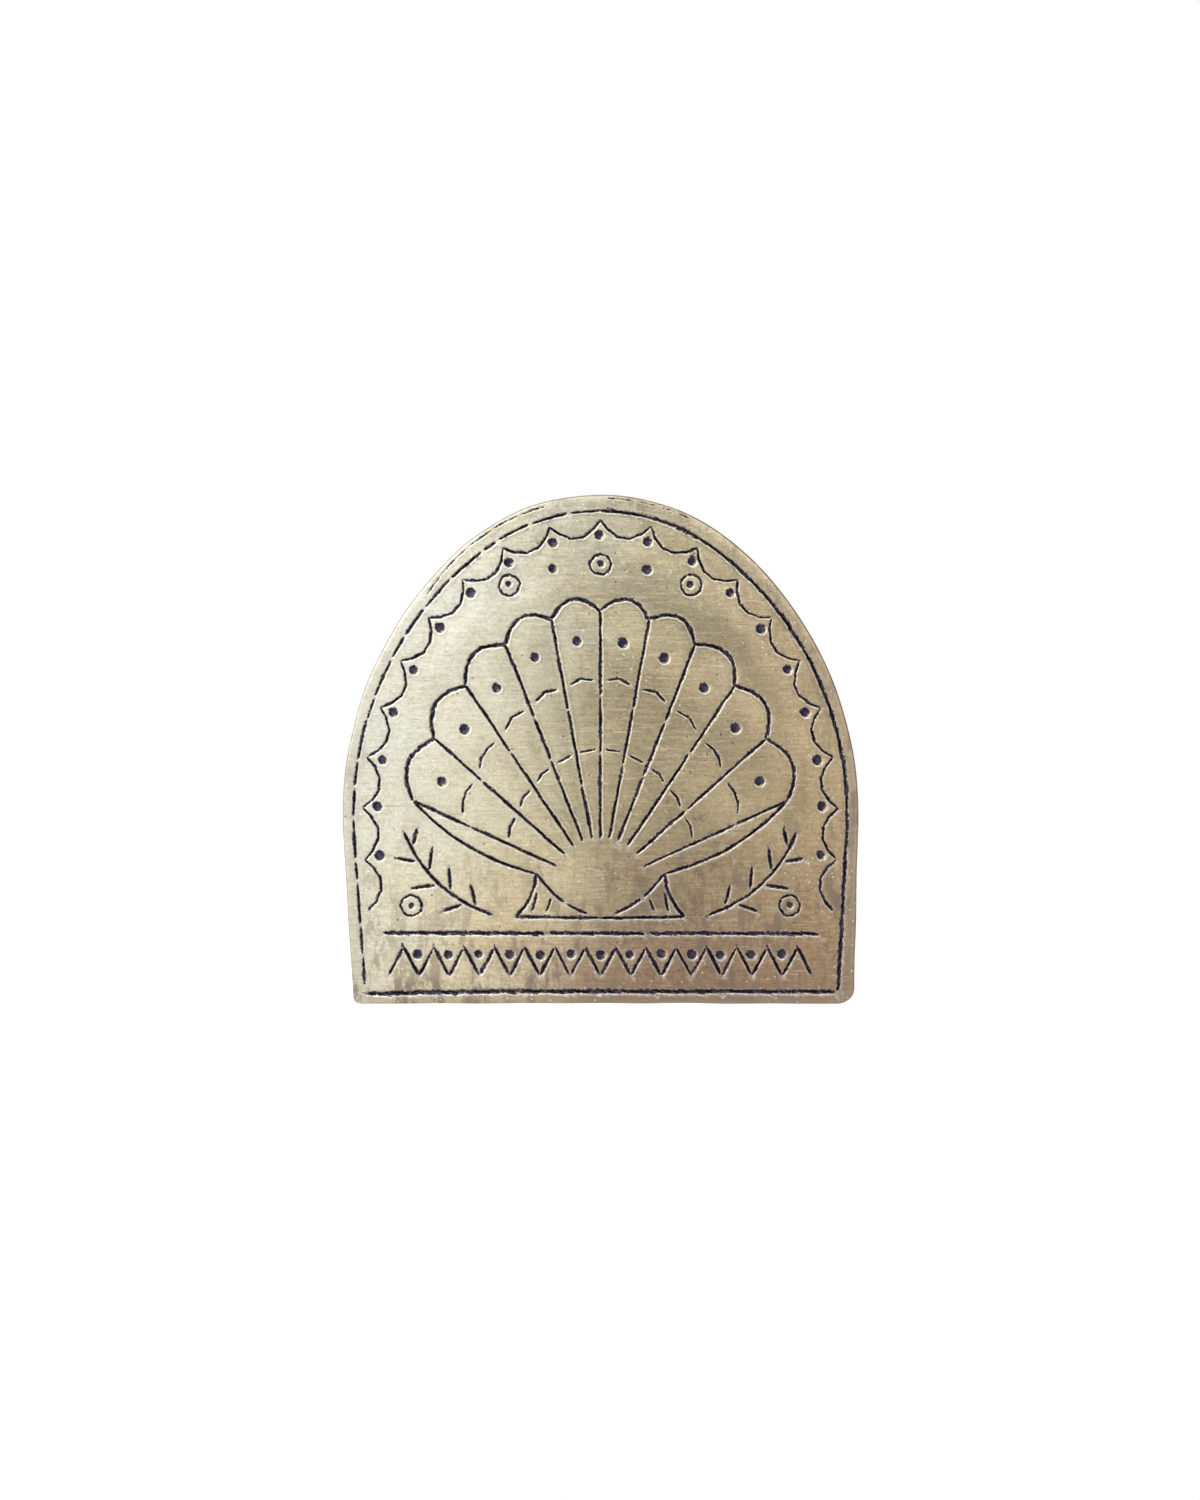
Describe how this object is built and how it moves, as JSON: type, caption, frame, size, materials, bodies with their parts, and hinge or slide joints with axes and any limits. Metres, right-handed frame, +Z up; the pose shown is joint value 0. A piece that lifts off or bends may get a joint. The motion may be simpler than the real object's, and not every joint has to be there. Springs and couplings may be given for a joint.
{
  "type": "engraved arch brooch",
  "caption": "Flat arch-shaped brass brooch with a chased and blackened front, a riveted swinging pin and a turning safety catch soldered to its back.",
  "frame": {"origin": "on the pin wire's axis, midway between the hinge's rivet and the middle of the catch, with the pin closed", "axes": "+X along the pin wire from hinge to catch, which is the wearer's view from left to right seen from the front; +Y away from the plate's back, so the engraved face looks along -Y; +Z up, towards the arch's crown"},
  "size_m": [0.05, 0.0065, 0.0493],
  "materials": {
    "chased_brass": "satin sheet brass with a fine horizontal grain and a blackened chased design",
    "finding_brass": "polished, slightly handled",
    "pin_steel": "drawn and polished wire",
    "silver_solder": "dull silver solder"
  },
  "bodies": {
    "brooch": {"front_plate": "chased_brass", "hinge_patch": "finding_brass", "catch_patch": "finding_brass", "hinge_solder_seam": "silver_solder", "catch_solder_seam": "silver_solder", "hinge_bracket": "finding_brass", "hinge_rivet": "finding_brass", "catch_housing": "finding_brass"},
    "pin": {"pin_knuckle": "finding_brass", "pin_wire": "pin_steel"},
    "lock": {"catch_rotor": "finding_brass"}
  },
  "joints": [
    {"name": "pin_swing", "type": "hinge", "parent": "brooch", "child": "pin", "pos_m": [-0.0155, 0, 0], "axis": [0, 0, 1], "range_deg": [0, 90]},
    {"name": "lock_turn", "type": "hinge", "parent": "brooch", "child": "lock", "pos_m": [0.0155, 0, 0], "axis": [1, 0, 0], "range_deg": [0, 80]}
  ]
}
